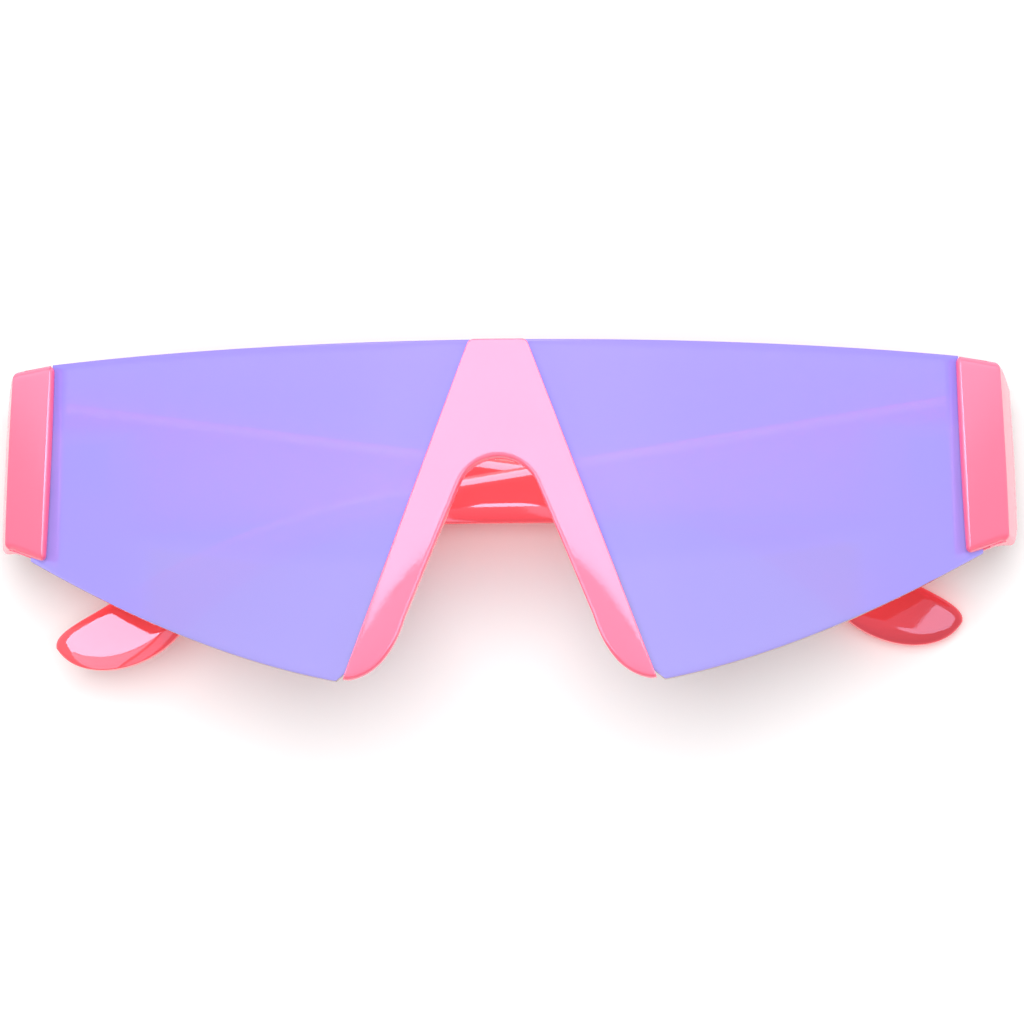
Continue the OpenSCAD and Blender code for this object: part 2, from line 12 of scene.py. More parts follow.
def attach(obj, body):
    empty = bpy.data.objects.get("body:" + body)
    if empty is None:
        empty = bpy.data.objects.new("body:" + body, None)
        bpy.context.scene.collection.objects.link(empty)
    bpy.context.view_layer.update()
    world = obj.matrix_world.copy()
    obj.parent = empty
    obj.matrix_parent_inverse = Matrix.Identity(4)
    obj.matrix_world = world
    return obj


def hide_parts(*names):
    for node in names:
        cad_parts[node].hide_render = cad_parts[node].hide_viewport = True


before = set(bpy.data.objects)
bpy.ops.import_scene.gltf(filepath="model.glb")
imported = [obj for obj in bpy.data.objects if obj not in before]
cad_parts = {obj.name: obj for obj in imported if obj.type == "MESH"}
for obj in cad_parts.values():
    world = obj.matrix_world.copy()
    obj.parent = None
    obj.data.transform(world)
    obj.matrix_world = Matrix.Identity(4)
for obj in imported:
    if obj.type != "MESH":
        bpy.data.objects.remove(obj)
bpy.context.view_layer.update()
print("frame loaded:", len(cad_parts), "nodes")

# how the front lies on the table, the same as in the CAD
lie = {"pitch": 6.75, "shift": 0.248861, "lift": 41.3725}
pitch = math.radians(lie["pitch"])
turnDown = np.array([[1, 0, 0],
                     [0, math.cos(pitch), math.sin(pitch)],
                     [0, -math.sin(pitch), math.cos(pitch)]])


def toTable(points):
    # row = turn down by the pitch, then shift and lift, in metres
    laid = np.asarray(points, float) @ turnDown.T
    return (laid + np.array([0, lie["shift"], lie["lift"]])) / 1000


def lerp(a, b, t):
    return a + (b - a) * t


def curve3(a, b, c, t):
    return (1 - t) ** 2 * a + 2 * t * (1 - t) * b + t ** 2 * c


def curve4(a, b, c, d, t):
    return (1 - t) * curve3(a, b, c, t) + t * curve3(b, c, d, t)


def gridFaces(rows, cols):
    # quads (i, j) (i, j+1) (i+1, j+1) (i+1, j), with j closed on itself
    i, j = np.meshgrid(np.arange(rows - 1), np.arange(cols), indexing="ij")
    k = (j + 1) % cols
    quads = [i * cols + j, i * cols + k, (i + 1) * cols + k, (i + 1) * cols + j]
    return np.stack(quads, -1).reshape(-1, 4)


def tubeMesh(name, rings, marks=None):
    # rings: (stations, points round, 3) in the front's frame; ends closed by a fan
    rows, cols = rings.shape[:2]
    ends = np.stack([rings[0].mean(0), rings[-1].mean(0)])
    verts = toTable(np.concatenate([rings.reshape(-1, 3), ends]))
    quads = gridFaces(rows, cols)
    j = np.arange(cols)
    k = (j + 1) % cols
    last = (rows - 1) * cols
    capA = np.stack([np.full(cols, rows * cols), k, j], -1)
    capB = np.stack([np.full(cols, rows * cols + 1), last + j, last + k], -1)
    mesh = bpy.data.meshes.new(name)
    mesh.from_pydata(verts.tolist(), [], quads.tolist() + capA.tolist() + capB.tolist())
    if marks is not None:
        layer = mesh.attributes.new("mark", "FLOAT", "POINT")
        values = np.concatenate([marks.ravel(), np.zeros(len(ends))])
        layer.data.foreach_set("value", values.astype(np.float32))
    return addPiece(name, mesh)


weldGap = 1e-7  # points this near each other, in metres, are one


def addPiece(name, mesh):
    tidy = bmesh.new()
    tidy.from_mesh(mesh)
    bmesh.ops.remove_doubles(tidy, verts=tidy.verts, dist=weldGap)
    bmesh.ops.recalc_face_normals(tidy, faces=tidy.faces)
    tidy.to_mesh(mesh)
    tidy.free()
    piece = bpy.data.objects.new(name, mesh)
    bpy.context.scene.collection.objects.link(piece)
    return piece


def smooth(piece, degrees):
    # rounded edges shade round and broad faces stay flat
    mesh = piece.data
    mesh.polygons.foreach_set("use_smooth", np.ones(len(mesh.polygons), bool))
    mesh.set_sharp_from_angle(angle=math.radians(degrees))
    weigh = piece.modifiers.new("weigh", "WEIGHTED_NORMAL")
    weigh.keep_sharp = True
    keepShape(piece)


def keepShape(piece):
    # the piece as its modifiers leave it becomes its plain mesh
    shape = piece.evaluated_get(bpy.context.evaluated_depsgraph_get())
    kept = bpy.data.meshes.new_from_object(shape)
    piece.modifiers.clear()
    piece.data = kept


def cutWith(piece, cutters):
    # takes the cutters' room out of the piece
    for cutter in cutters:
        cut = piece.modifiers.new("cut", "BOOLEAN")
        cut.operation = "DIFFERENCE"
        cut.solver = "EXACT"
        cut.object = cutter
        keepShape(piece)
    for cutter in cutters:
        bpy.data.objects.remove(cutter)


class Wire:
    # a socket that takes part in sums, so shader maths reads as plain maths
    def __init__(self, bench, socket):
        self.bench = bench
        self.socket = socket

    def sum(self, operation, first, second):
        return self.bench.add("ShaderNodeMath", {"operation": operation}, {0: first, 1: second})

    def __add__(self, other):
        return self.sum("ADD", self, other)

    def __radd__(self, other):
        return self.sum("ADD", other, self)

    def __sub__(self, other):
        return self.sum("SUBTRACT", self, other)

    def __rsub__(self, other):
        return self.sum("SUBTRACT", other, self)

    def __mul__(self, other):
        return self.sum("MULTIPLY", self, other)

    def __rmul__(self, other):
        return self.sum("MULTIPLY", other, self)

    def __truediv__(self, other):
        return self.sum("DIVIDE", self, other)

    def softStep(self, low, high):
        # 0 below low, 1 above high, smooth between them
        return self.bench.add("ShaderNodeMapRange", {"interpolation_type": "SMOOTHSTEP"},
                              {"Value": self, "From Min": low, "From Max": high})


class Bench:
    # the nodes of one material or world, all added in one way
    def __init__(self, owner):
        owner.use_nodes = True
        self.owner = owner
        self.tree = owner.node_tree
        self.tree.nodes.clear()

    def add(self, kind, settings=None, sockets=None, out=0):
        # out names the output to go on with, or a tuple of them
        node = self.tree.nodes.new(kind)
        for key, value in (settings or {}).items():
            setattr(node, key, value)
        for key, value in (sockets or {}).items():
            if isinstance(value, Wire):
                self.tree.links.new(value.socket, node.inputs[key])
            else:
                node.inputs[key].default_value = value
        if isinstance(out, tuple):
            return [Wire(self, node.outputs[each]) for each in out]
        return Wire(self, node.outputs[out]) if len(node.outputs) else None

    def mix(self, factor, colourA, colourB):
        # the colour sockets of a Mix node are 6, 7 and output 2
        return self.add("ShaderNodeMix", {"data_type": "RGBA"},
                        {0: factor, 6: colourA, 7: colourB}, out=2)

    def place(self):
        return self.add("ShaderNodeTexCoord", out="Object")

    def axes(self):
        return self.add("ShaderNodeSeparateXYZ", None, {0: self.place()}, out=(0, 1))

    def noise(self, scale, detail=2.0, place=None):
        return self.add("ShaderNodeTexNoise", None,
                        {"Vector": place or self.place(), "Scale": scale, "Detail": detail})

    def finish(self, sockets):
        shader = self.add("ShaderNodeBsdfPrincipled", None, sockets)
        self.add("ShaderNodeOutputMaterial", None, {"Surface": shader})
        return self.owner


def srgb(red, green, blue):
    # 0-255 screen values to linear
    values = np.array([red, green, blue]) / 255
    linear = np.where(values <= 0.04045, values / 12.92, ((values + 0.055) / 1.055) ** 2.4)
    return (*linear.tolist(), 1.0)


# paintedGlow and its level: a steady red emission, a painted glow so the plastic stays bright red
# where it is in shade
plastic = {"paintedGlow": (255, 60, 60), "paintedGlowLevel": 0.22, "shine": (0.6, 0.68, 1.0, 1.0),
           "flow": 45.0, "grain": 1400.0, "grainDetail": 1.0, "bump": 0.25, "ior": 1.6,
           "wear": 160.0, "leastRough": 0.7, "wearRough": 0.6,
           # front and clasp are the arm's coral painted lighter, a lit copy for the strong light on
           # the front; arm holds the plastic's own colour
           "front": {"main": (255, 116, 146), "deep": (254, 106, 136),
                     "roughness": 0.08, "ripple": 0.00002},
           "clasp": {"main": (255, 116, 146), "deep": (254, 108, 138),
                     "roughness": 0.16, "ripple": 0.00001},
           "arm": {"main": (255, 80, 86), "deep": (255, 68, 74),
                   "roughness": 0.03, "ripple": 0.000005}}


def glossPlastic(name, tone):
    # moulded plastic: faint flow clouds in the colour, a polished skin with slight ripple, and a
    # painted glow (steady red emission) that keeps it red in shade
    p = plastic
    bench = Bench(bpy.data.materials.new(name))
    clouds = bench.noise(p["flow"])
    skin = bench.noise(p["grain"], p["grainDetail"])
    rough = tone["roughness"] * (p["leastRough"] + p["wearRough"] * bench.noise(p["wear"]))
    ripple = bench.add("ShaderNodeBump", None,
                       {"Strength": p["bump"], "Distance": tone["ripple"], "Height": skin})
    return bench.finish({
        "Base Color": bench.mix(clouds, srgb(*tone["deep"]), srgb(*tone["main"])),
        "Roughness": rough,
        "Normal": ripple,
        "Specular Tint": p["shine"],
        "Emission Color": srgb(*p["paintedGlow"]),
        "Emission Strength": p["paintedGlowLevel"],
        "IOR": p["ior"]})


# the places are in mm; seen and seenBack are how solid the front and the back look
# top and low are tints of the coat painted for its reflection of the studio
mirror = {"main": (161, 153, 254), "top": (161, 147, 255), "low": (165, 156, 237),
          # end is a redder tint of the coat, painted in for the pink light that shows through the
          # lens
          "rim": (188, 132, 116), "back": (122, 92, 84), "end": (167, 155, 252),
          "topFrom": 2.0, "topTo": 24.0, "lowBow": 700.0, "lowDrop": 8.0, "lowBlur": 2.0,
          "coverFrom": 50.0, "coverTo": 58.0, "coverFade": 11.0, "coverTop": 13.5,
          "smear": 30.0, "roughness": 0.1, "smearRough": 0.05, "metal": 0.17, "ior": 1.5,
          "seen": 0.88, "seenBack": 0.54, "rimMark": (0.1, 0.9), "backMark": (1.1, 1.9)}


def mirrorLens(name):
    # violet mirror coat, bluer at the top and greyer below the line y = x^2 / lowBow - lowDrop,
    # which is a painted reflection of the studio; the mark turns it to the brown body at the cut
    # edge and to the bare back
    m = mirror
    bench = Bench(bpy.data.materials.new(name))
    x, y = [axis * 1000 for axis in bench.axes()]
    low = x * x / m["lowBow"] - m["lowDrop"] - y
    # painted reflection: bluer towards the top, greyer below the curved line
    coat = bench.mix(y.softStep(m["topFrom"], m["topTo"]), srgb(*m["main"]), srgb(*m["top"]))
    coat = bench.mix(low.softStep(-m["lowBlur"], m["lowBlur"]), coat, srgb(*m["low"]))
    # towards the ends the back is kept solid so the metal behind it stays hidden, and the coat
    # there is painted redder for the pink light that would show through
    ends = (x * x).softStep(m["coverFrom"] ** 2, m["coverTo"] ** 2)
    cover = ends * (1 - y.softStep(m["coverFade"], m["coverTop"]))
    coat = bench.mix(cover, coat, srgb(*m["end"]))
    mark = bench.add("ShaderNodeAttribute", {"attribute_name": "mark"}, out="Fac")
    rim, back = mark.softStep(*m["rimMark"]), mark.softStep(*m["backMark"])
    edged = bench.mix(rim, coat, srgb(*m["rim"]))
    return bench.finish({
        "Base Color": bench.mix(back, edged, srgb(*m["back"])),
        "Metallic": m["metal"] * (1 - rim),
        "Roughness": m["roughness"] + m["smearRough"] * bench.noise(m["smear"]),
        "Alpha": m["seen"] - (m["seen"] - m["seenBack"]) * (back * (1 - cover)),
        "IOR": m["ior"]})


steel = {"bright": (206, 208, 212), "dull": (150, 152, 158), "lines": 900.0, "lineDetail": 3.0,
         "stains": 220.0, "stainRough": 0.12, "bump": 0.2, "depth": 0.00002,
         "rolled": {"stretch": (1.0, 8.0, 1.0), "roughness": 0.28},
         "turned": {"stretch": (4.0, 1.0, 4.0), "roughness": 0.2}}


def brushedSteel(name, finish):
    # fine drawn lines along one axis, and small stains in the gloss
    s = steel
    bench = Bench(bpy.data.materials.new(name))
    along = bench.add("ShaderNodeMapping", None,
                      {"Vector": bench.place(), "Scale": finish["stretch"]})
    lines = bench.noise(s["lines"], s["lineDetail"], along)
    bump = bench.add("ShaderNodeBump", None,
                     {"Strength": s["bump"], "Distance": s["depth"], "Height": lines})
    return bench.finish({
        "Base Color": bench.mix(lines, srgb(*s["dull"]), srgb(*s["bright"])),
        "Metallic": 1.0,
        "Roughness": finish["roughness"] + s["stainRough"] * bench.noise(s["stains"]),
        "Normal": bump})


# the front and clasp plastics are painted lighter than the arm plastic, as if lit more strongly
frontPlastic = glossPlastic("neon_coral_front_painted_lighter", plastic["front"])
claspPlastic = glossPlastic("neon_coral_clasp_painted_lighter", plastic["clasp"])
armPlastic = glossPlastic("neon_coral_arm", plastic["arm"])
lensCoat = mirrorLens("violet_mirror")
hingeSteel = brushedSteel("rolled_steel", steel["rolled"])
screwSteel = brushedSteel("turned_steel", steel["turned"])
print("materials made")

wrap = 130.0  # radius of the front of the lens


def sag(x, radius):
    # depth at x of a cylinder about the lens's own axis
    return wrap - np.sqrt(radius ** 2 - np.asarray(x) ** 2)


arch = {"radius": 6.1, "y": 1.2, "spread": math.radians(22.5), "flank": 24.6}
flankDown = np.array([math.sin(arch["spread"]), -math.cos(arch["spread"])])
flankOut = np.array([math.cos(arch["spread"]), math.sin(arch["spread"])])
archCentre = np.array([0.0, arch["y"]])


def archPoint(angle, gap):
    # centre + (radius + gap)(cos, sin)
    angle = np.radians(angle)
    return archCentre + (arch["radius"] + gap) * np.stack([np.cos(angle), np.sin(angle)], -1)


def flankPoint(t, gap):
    # start of the flank + flank length * t down the flank
    start = archCentre + (arch["radius"] + gap) * flankOut
    return start + arch["flank"] * np.asarray(t)[..., None] * flankDown


def sideShares(margin, count):
    # shares along a side: one close to each end, the others evenly between
    inset = 0.08
    return np.concatenate([[margin], np.linspace(inset, 1 - inset, count), [1 - margin]])


shield = {"end": 71.4, "top": 24.9, "foot": -24.9, "corner": -4.9, "crown": 0.3, "thick": 2.0,
          "gap": 1.2, "heel": 24.0, "belly": (0.45, 0.22), "tabX": 68.0, "tabDrop": 2.4,
          "tabSlope": 0.02, "edge": 0.3, "columns": 420, "rows": 44, "archSteps": 40,
          "bellySteps": 120, "edgeSteps": 5, "coatSteps": 3, "sharp": 50}


def lensPiece():
    s = shield
    # lower edge: arch, flank, heel and belly, as a height over x
    angles = np.linspace(90, math.degrees(arch["spread"]), s["archSteps"])
    heel = np.array([s["heel"], s["foot"]])
    tip = np.array([s["end"], s["corner"]])
    belly = lerp(heel, tip, np.array(s["belly"]))
    t = np.linspace(0, 1, s["bellySteps"])[:, None]
    line = np.concatenate([archPoint(angles, s["gap"]), flankPoint(np.ones(1), s["gap"]),
                           curve3(heel, belly, tip, t)])
    # columns: even ones, ones that close up towards the end, and each bend of the outline
    count = s["columns"] // 2
    half = s["end"] * np.sin(np.linspace(0, 1, count) * math.pi / 2)
    half = np.unique(np.concatenate([half, np.linspace(0, s["end"], count),
                                     line[:s["archSteps"], 0],
                                     [s["tabX"], s["tabX"] + s["tabSlope"]]]))
    x = np.concatenate([-half[:0:-1], half])
    low = np.interp(np.abs(x), line[:, 0], line[:, 1])
    high = s["top"] - s["crown"] * (x / s["end"]) ** 2
    high = np.where(np.abs(x) > s["tabX"] + s["tabSlope"] / 2, s["top"] - s["tabDrop"], high)
    # each ring: up the front, over the rounded top edge, down the back, round the lower edge
    e, rows = s["edge"], s["rows"]
    rise = np.linspace(0, 1, rows)
    turn = np.radians(np.linspace(0, 90, s["edgeSteps"]))
    sink, bulge = e - e * np.cos(turn), e * np.sin(turn)
    step = np.arange(2 * s["edgeSteps"] - 1)
    out = np.concatenate([np.zeros(rows), sink[1:], s["thick"] - sink[::-1],
                          np.full(rows - 2, s["thick"]), s["thick"] - sink, sink[:0:-1]])
    share = np.concatenate([rise, 0 * step + 1, rise[-2:0:-1], 0 * step])
    push = np.concatenate([np.zeros(rows), bulge[1:], bulge[::-1],
                           np.zeros(rows - 2), -bulge, -bulge[:0:-1]])
    y = lerp((low + e)[:, None], (high - e)[:, None], share[None]) + push[None]
    depth = sag(x[:, None], wrap - out[None])
    rings = np.stack([np.broadcast_to(x[:, None], y.shape), y, -depth], -1)
    # mark: 0 on the coated front, 1 round the cut edge, 2 on the bare back
    bare = step >= s["coatSteps"]
    cutEdge = np.concatenate([np.zeros(rows), bare, np.full(rows - 2, 2), bare[::-1]])
    piece = tubeMesh("lens_shield", rings, np.broadcast_to(cutEdge[None], y.shape))
    smooth(piece, s["sharp"])
    return piece


lens = lensPiece()
lens.data.materials.append(lensCoat)
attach(lens, "front")
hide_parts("lens")
print("lens done")

bar = {"fall": 0.8, "top": 4.2, "foot": 22.8, "drop": 0.1, "topDrop": 0.3, "round": 0.8,
       "thick": 2.4, "edge": 0.6, "rim": 0.2, "seat": 0.1, "toeInset": 0.8, "toe": 0.7,
       "toeThin": 0.35, "flareReach": 0.3, "flareOut": 0.3, "flareDown": 0.9,
       "widthShare": 0.4, "topShare": 2 / 7, "topSteps": 17, "archSteps": 37,
       "flankSteps": 25, "flareSteps": 33, "edgeSteps": 9, "frontSteps": 11,
       "frontMargin": 0.015, "sharp": 40}


def bridgePiece():
    b = bar
    corner = np.array([b["top"], shield["top"] - b["topDrop"]])
    foot = np.array([b["foot"], shield["foot"] + b["drop"]])
    sideLine = foot - corner

    def across(p):
        # share of the outer side straight across from a point of the arch
        return ((p - corner) @ sideLine) / (sideLine @ sideLine)

    flareStart = flankPoint(np.array([1 - b["flareReach"] / 2]), 0)[0]
    flareEnd = np.array([foot[0] - b["toeInset"], shield["foot"]])
    flareTurn = np.array([lerp(flareStart[0], flareEnd[0], b["flareOut"]),
                          lerp(flareStart[1], flareEnd[1], b["flareDown"])])
    spread = math.degrees(arch["spread"])
    flankShare = across(flankPoint(np.array([0.0]), 0)[0])
    # inner and outer edge of the strip from the middle of the arch to the right foot
    near = 1 - np.linspace(1, 0, b["topSteps"]) ** 2
    away = np.linspace(0, 1, b["archSteps"])[1:] ** 2
    inner = [archPoint(90 - (90 - spread) * near * b["topShare"], 0),
             archPoint(90 - (90 - spread) * lerp(b["topShare"], 1, away), 0)]
    outer = [np.stack([corner[0] * near, 0 * near + corner[1]], -1),
             corner + sideLine * flankShare * away[:, None]]
    t = np.linspace(0, 1, b["flankSteps"])[1:, None]
    p = lerp(flankPoint(np.array([0.0]), 0), flareStart, t)
    inner.append(p)
    outer.append(corner + sideLine * across(p)[:, None])
    t = np.linspace(0, 1, b["flareSteps"])[1:, None]
    inner.append(curve3(flareStart, flareTurn, flareEnd, t))
    outer.append(corner + sideLine * lerp(across(flareStart), 1, t))
    inner, outer = np.concatenate(inner), np.concatenate(outer)
    # the upper corner is the curve (1-t)^2 start + 2t(1-t) corner + t^2 end
    way = sideLine / np.linalg.norm(sideLine)
    past = np.where(outer[:, 1] < corner[1], (outer - corner) @ way, outer[:, 0] - corner[0])
    t = (past[:, None] / b["round"] + 1) / 2
    start = corner - np.array([b["round"], 0])
    bend = curve3(start, corner, corner + way * b["round"], t)
    outer = np.where(np.abs(past[:, None]) < b["round"], bend, outer)
    flip = np.array([-1, 1])
    inner = np.concatenate([(inner * flip)[:0:-1], inner])
    outer = np.concatenate([(outer * flip)[:0:-1], outer])
    # cross-section: flat back, two rounded front edges
    span = np.linalg.norm(outer - inner, axis=1)
    edge = np.minimum(b["edge"], b["widthShare"] * span)[:, None]
    rim = np.minimum(b["rim"], edge)
    turn = np.radians(np.linspace(0, 90, b["edgeSteps"]))[None]
    width = span[:, None]
    back = np.linspace(1, 0, b["edgeSteps"])[None] * width
    front = sideShares(b["frontMargin"], b["frontSteps"])[None] * (width - edge - rim) + edge
    reach = np.concatenate([back, edge * (1 - np.cos(turn))[:, 1:], front,
                            width - rim * (1 - np.cos(turn))[:, ::-1][:, :-1]], 1)
    # the front falls towards the nose by fall * (way down the arch)^2 * (1 - share across)^2
    down = np.clip((arch["y"] - inner[:, 1]) / (arch["y"] - shield["foot"]), 0, 1)
    drop = b["fall"] * down[:, None] ** 2 * (1 - reach / width) ** 2
    rounding = np.concatenate([edge * (np.sin(turn)[:, 1:] - 1), 0 * front,
                               rim * (np.sin(turn)[:, ::-1][:, :-1] - 1)], 1)
    raised = b["thick"] - drop[:, back.shape[1]:] + rounding
    height = np.concatenate([np.full(back.shape, b["seat"]), raised], 1)
    # the strip thins over its last stretch, so each foot ends in a rounded edge
    steps = np.linalg.norm(np.diff((inner + outer) / 2, axis=0), axis=1)
    along = np.concatenate([[0], np.cumsum(steps)])
    left = np.minimum(along, along[-1] - along) / b["toe"]
    curl = 1 - np.sqrt(np.clip(1 - (1 - left) ** 2, 0, 1))
    thin = np.where(left < 1, 1 - curl * b["toeThin"], 1)[:, None]
    height = b["seat"] + (height - b["seat"]) * thin
    way = (outer - inner) / width
    flat = inner[:, None] + way[:, None] * reach[..., None]
    rings = np.concatenate([flat, (height - sag(flat[..., 0], wrap))[..., None]], -1)
    piece = tubeMesh("nose_bridge", rings)
    smooth(piece, b["sharp"])
    return piece


bridge = bridgePiece()
bridge.data.materials.append(frontPlastic)
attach(bridge, "front")
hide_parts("bridge")
bridge.visible_diffuse = False
print("bridge done")

# corners are the radii of the profile at the plate's two ends, the side's end, the hinge
# face and the lip; soft, fine and slotSoft round the upper and lower edges
clasp = {"outer": 74.4, "inner": 67.5, "plate": 1.8, "lip": 1.6, "reach": 1.5,
         "corners": (1.15, 0.4, 0.35, 0.3, 0.3), "least": 0.02, "top": 23.9, "topRise": 0.55,
         "foot": -5.9, "lean": 2.2, "sideBack": 32.45, "sideFace": 72.4, "splay": 10.5,
         "bulge": 1.2, "footRise": 2.844, "sideRise": 2.7, "sideDrop": 2.2, "crown": 0.12,
         "soft": 1.1, "fine": 0.25, "slotSoft": 0.1, "gap": 0.1, "slotEnd": 71.5,
         "screwX": 69.4, "screwHeights": (17.344, 5.424), "headRadius": 1.15,
         "headDepth": 0.75, "pocket": 6, "margin": 0.01, "sideSteps": 13, "edgeSteps": 10,
         "cornerSteps": 7, "longSteps": 9, "shortSteps": 7, "headSteps": 40, "bent": 0.8,
         "grid": 0.6, "meet": 1e-5, "overrun": 1, "sharp": 40}


def claspProfile():
    # seen from above, as (x, depth) with a corner radius and the rounding of the side that follows:
    # plate, side, hinge face, flat inner side, lip, slot for the lens, back of the plate
    c = clasp
    frontRadius, slotRadius = wrap + c["plate"], wrap - shield["thick"] - c["gap"]
    lipRadius = slotRadius - c["lip"]
    face = np.linspace(c["inner"], c["outer"], c["longSteps"])
    run = c["sideBack"] - sag(c["outer"], frontRadius)
    bulge = run * math.tan(math.radians(c["splay"]))
    t = np.linspace(0, 1, c["longSteps"])[1:]
    inset = c["inner"] - c["reach"]
    lipX = np.linspace(c["sideFace"] - c["lip"], inset, c["shortSteps"])
    slotX = np.linspace(inset, c["slotEnd"], c["shortSteps"])
    backX = np.linspace(c["slotEnd"], c["inner"], c["shortSteps"])
    bow = c["bulge"] * t - (c["bulge"] - 1) * t ** 2
    parts = [(face, sag(face, frontRadius), c["soft"]),
             (c["outer"] + bulge * bow, sag(c["outer"], frontRadius) + run * t, c["soft"]),
             ([c["sideFace"]], [c["sideBack"]], c["fine"]),
             ([c["sideFace"]], sag([c["sideFace"]], lipRadius), c["fine"]),
             (lipX, sag(lipX, lipRadius), c["fine"]),
             (slotX, sag(slotX, slotRadius), c["slotSoft"]),
             (backX, sag(backX, wrap + c["gap"]), c["slotSoft"])]
    points = np.concatenate([np.stack(part[:2], -1) for part in parts])
    soft = np.concatenate([np.full(len(part[0]), part[2]) for part in parts])
    plateEnd, sideEnd, hingeEnd, _, lipEnd, _, backEnd = np.cumsum([len(p[0]) for p in parts]) - 1
    soft[[sideEnd, lipEnd, backEnd]] = c["fine"], c["fine"], c["soft"]
    radii = np.full(len(points), c["least"])
    radii[[0, plateEnd, sideEnd, hingeEnd, lipEnd]] = c["corners"]
    return points, soft, radii


def insetProfile(points, soft, radii, pull, steps):
    # sides move in by soft * pull, corners to where they meet: p + a n1 + b n2
    # with a + b c = d1 and a c + b = d2, where c is n1 . n2;
    # each corner is then the curve (1-t)^2 start + 2t(1-t) corner + t^2 end
    ahead = np.roll(points, -1, 0) - points
    normal = np.stack([-ahead[:, 1], ahead[:, 0]], -1) / np.linalg.norm(ahead, axis=1)[:, None]
    before = np.roll(normal, 1, 0)
    c = (normal * before).sum(1)[None]
    d1, d2 = np.roll(soft, 1)[None] * pull[:, None], soft[None] * pull[:, None]
    even = (d1 + d2) / 2 / (1 + c)
    square = np.abs(c) < clasp["bent"]  # elsewhere the line goes on nearly straight
    spread = np.where(square, 1 - c ** 2, 1)
    a = np.where(square, (d1 - c * d2) / spread, even)
    b = np.where(square, (d2 - c * d1) / spread, even)
    moved = points[None] + a[..., None] * before[None] + b[..., None] * normal[None]
    back, on = np.roll(moved, 1, 1) - moved, np.roll(moved, -1, 1) - moved
    back /= np.linalg.norm(back, axis=2)[..., None]
    on /= np.linalg.norm(on, axis=2)[..., None]
    half = np.arccos(np.clip((back * on).sum(2), -1, 1)) / 2
    room = np.maximum(radii[None] - np.minimum(d1, d2), clasp["least"])
    cut = (room / np.tan(half))[..., None]
    t = np.linspace(0, 1, steps)[:, None]
    start, end = (moved + back * cut)[:, :, None], (moved + on * cut)[:, :, None]
    return curve3(start, moved[:, :, None], end, t).reshape(len(pull), -1, 2)


def claspHeights(x, depth):
    # top and foot of the end piece over a place seen from above
    c = clasp
    front = sag(c["outer"], wrap + c["plate"])
    top = np.minimum(c["top"] + c["topRise"] * (c["outer"] - x) / (c["outer"] - c["inner"]),
                     np.interp(depth, [front, c["sideBack"] + c["overrun"]],
                               [c["top"] + c["topRise"], c["top"] - c["sideDrop"]]))
    footX = x + (c["top"] - c["foot"]) * math.tan(math.radians(c["lean"]))
    foot = np.maximum(np.interp(footX, [c["inner"] - 2 * c["reach"], c["inner"], c["outer"]],
                                [c["foot"] + c["footRise"] / 2, c["foot"],
                                 c["foot"] + c["footRise"]]),
                      np.interp(depth, [front + c["plate"], c["sideBack"] + c["overrun"]],
                                [c["foot"], c["foot"] + c["footRise"] + c["sideRise"]]))
    return top, foot


def claspPlace(x, depth, y):
    # each level is shifted inwards by (y - top) tan(lean)
    return np.stack([x - (y - clasp["top"]) * math.tan(math.radians(clasp["lean"])), y, -depth], -1)


def claspCap(ring, which):
    # triangles over the inside of a closed line, with a grid of places so that bent ends
    # stay true
    low, high = ring.min(0), ring.max(0)
    c = clasp
    gap = c["grid"]
    grid = np.meshgrid(np.arange(low[0], high[0], gap), np.arange(low[1], high[1], gap))
    places = np.concatenate([ring, np.stack([grid[0].ravel(), grid[1].ravel()], -1)])
    count = np.arange(len(ring))
    rim = np.stack([count, (count + 1) % len(ring)], -1)
    keepInside = 1
    spots, _, faces, *_ = geometry.delaunay_2d_cdt(places.tolist(), rim.tolist(), [],
                                                   keepInside, c["meet"])
    faces = np.array(faces)
    used, faces = np.unique(faces, return_inverse=True)
    spots = np.array(spots)[used]
    y = claspHeights(spots[:, 0], spots[:, 1])[which]
    return claspPlace(spots[:, 0], spots[:, 1], y), faces.reshape(-1, 3)


